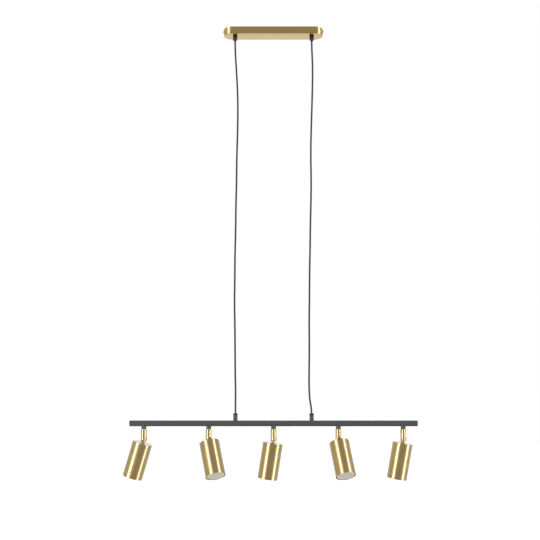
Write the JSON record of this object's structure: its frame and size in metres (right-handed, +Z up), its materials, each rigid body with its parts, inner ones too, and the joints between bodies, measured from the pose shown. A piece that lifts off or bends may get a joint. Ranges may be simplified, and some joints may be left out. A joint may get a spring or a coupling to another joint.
{
  "type": "linear island pendant",
  "caption": "Long pendant light: slim ceiling canopy, paired cords and a straight bar that carries swivelling, tilting cylinder spot heads with reflector bulbs.",
  "frame": {"origin": "middle of the ceiling plane, on the canopy's rim and the bracket's top face", "axes": "+X along the bar to the right seen from the front, +Y to the back, +Z up into the ceiling"},
  "size_m": [0.8182, 0.1099, 1.2921],
  "materials": {
    "brushed_brass": "fine brushed, clear lacquered",
    "polished_brass": "polished",
    "zinc_steel": "zinc plated",
    "black_paint": "fine matt charcoal powder coat",
    "black_plastic": "moulded, satin",
    "white_plastic": "moulded",
    "wire_insulation": "extruded insulation on copper",
    "black_cord": "black round cord",
    "holder_ceramic": "unglazed white ceramic",
    "bulb_plastic": "satin white moulding",
    "bulb_lens": "frosted"
  },
  "bodies": {
    "ceiling_canopy": {"canopy": "brushed_brass", "ceiling_bracket": "zinc_steel", "canopy_screws": "polished_brass", "canopy_cord_grips": "black_plastic", "grip_nuts": "zinc_steel", "terminal_block": "white_plastic", "terminal_screws": "zinc_steel", "canopy_wiring": "wire_insulation"},
    "hanging_bar": {"cable_left": "black_cord", "cable_right": "black_cord", "bar_frame": "black_paint", "end_caps": "black_paint", "stem_cord_grips": "black_plastic", "swivel_nipples": "zinc_steel", "bar_wiring": "wire_insulation"},
    "head_1_swivel": {"swivel_sleeve_1": "polished_brass", "tilt_pin_1": "polished_brass"},
    "head_1_shade": {"tilt_tongue_1": "polished_brass", "shade_1": "brushed_brass", "shade_nut_1": "zinc_steel", "holder_bracket_1": "zinc_steel", "lampholder_1": "holder_ceramic", "bulb_1": "bulb_plastic", "bulb_lens_1": "bulb_lens"},
    "head_2_swivel": {"swivel_sleeve_2": "polished_brass", "tilt_pin_2": "polished_brass"},
    "head_2_shade": {"tilt_tongue_2": "polished_brass", "shade_2": "brushed_brass", "shade_nut_2": "zinc_steel", "holder_bracket_2": "zinc_steel", "lampholder_2": "holder_ceramic", "bulb_2": "bulb_plastic", "bulb_lens_2": "bulb_lens"},
    "head_3_swivel": {"swivel_sleeve_3": "polished_brass", "tilt_pin_3": "polished_brass"},
    "head_3_shade": {"tilt_tongue_3": "polished_brass", "shade_3": "brushed_brass", "shade_nut_3": "zinc_steel", "holder_bracket_3": "zinc_steel", "lampholder_3": "holder_ceramic", "bulb_3": "bulb_plastic", "bulb_lens_3": "bulb_lens"},
    "head_4_swivel": {"swivel_sleeve_4": "polished_brass", "tilt_pin_4": "polished_brass"},
    "head_4_shade": {"tilt_tongue_4": "polished_brass", "shade_4": "brushed_brass", "shade_nut_4": "zinc_steel", "holder_bracket_4": "zinc_steel", "lampholder_4": "holder_ceramic", "bulb_4": "bulb_plastic", "bulb_lens_4": "bulb_lens"},
    "head_5_swivel": {"swivel_sleeve_5": "polished_brass", "tilt_pin_5": "polished_brass"},
    "head_5_shade": {"tilt_tongue_5": "polished_brass", "shade_5": "brushed_brass", "shade_nut_5": "zinc_steel", "holder_bracket_5": "zinc_steel", "lampholder_5": "holder_ceramic", "bulb_5": "bulb_plastic", "bulb_lens_5": "bulb_lens"}
  },
  "joints": [
    {"name": "bar_swing", "type": "hinge", "parent": "ceiling_canopy", "child": "hanging_bar", "pos_m": [0, 0, -0.0335], "axis": [1, 0, 0], "range_deg": [-15, 15], "deforming": ["cable_left", "cable_right"]},
    {"name": "head_1_turn", "type": "hinge", "parent": "hanging_bar", "child": "head_1_swivel", "pos_m": [-0.36, 0, -1.155], "axis": [0, 0, 1], "range_deg": [-158.3, 191.7]},
    {"name": "head_1_tilt", "type": "hinge", "parent": "head_1_swivel", "child": "head_1_shade", "pos_m": [-0.36, 0, -1.1782], "axis": [0.2874, 0.9578, 0], "range_deg": [-107.2, 72.8]},
    {"name": "head_2_turn", "type": "hinge", "parent": "hanging_bar", "child": "head_2_swivel", "pos_m": [-0.18, 0, -1.155], "axis": [0, 0, 1], "range_deg": [-112.7, 237.3]},
    {"name": "head_2_tilt", "type": "hinge", "parent": "head_2_swivel", "child": "head_2_shade", "pos_m": [-0.18, 0, -1.1782], "axis": [0.8854, 0.4648, 0], "range_deg": [-63.8, 116.2]},
    {"name": "head_3_turn", "type": "hinge", "parent": "hanging_bar", "child": "head_3_swivel", "pos_m": [0, 0, -1.155], "axis": [0, 0, 1], "range_deg": [-153.7, 196.3]},
    {"name": "head_3_tilt", "type": "hinge", "parent": "head_3_swivel", "child": "head_3_shade", "pos_m": [0, 0, -1.1782], "axis": [0.3633, 0.9317, 0], "range_deg": [-99.5, 80.5]},
    {"name": "head_4_turn", "type": "hinge", "parent": "hanging_bar", "child": "head_4_swivel", "pos_m": [0.18, 0, -1.155], "axis": [0, 0, 1], "range_deg": [-104, 246]},
    {"name": "head_4_tilt", "type": "hinge", "parent": "head_4_swivel", "child": "head_4_shade", "pos_m": [0.18, 0, -1.1782], "axis": [0.9455, 0.3256, 0], "range_deg": [-63.1, 116.9]},
    {"name": "head_5_turn", "type": "hinge", "parent": "hanging_bar", "child": "head_5_swivel", "pos_m": [0.36, 0, -1.155], "axis": [0, 0, 1], "range_deg": [-153, 197]},
    {"name": "head_5_tilt", "type": "hinge", "parent": "head_5_swivel", "child": "head_5_shade", "pos_m": [0.36, 0, -1.1782], "axis": [0.3746, 0.9272, 0], "range_deg": [-100.7, 79.3]}
  ]
}
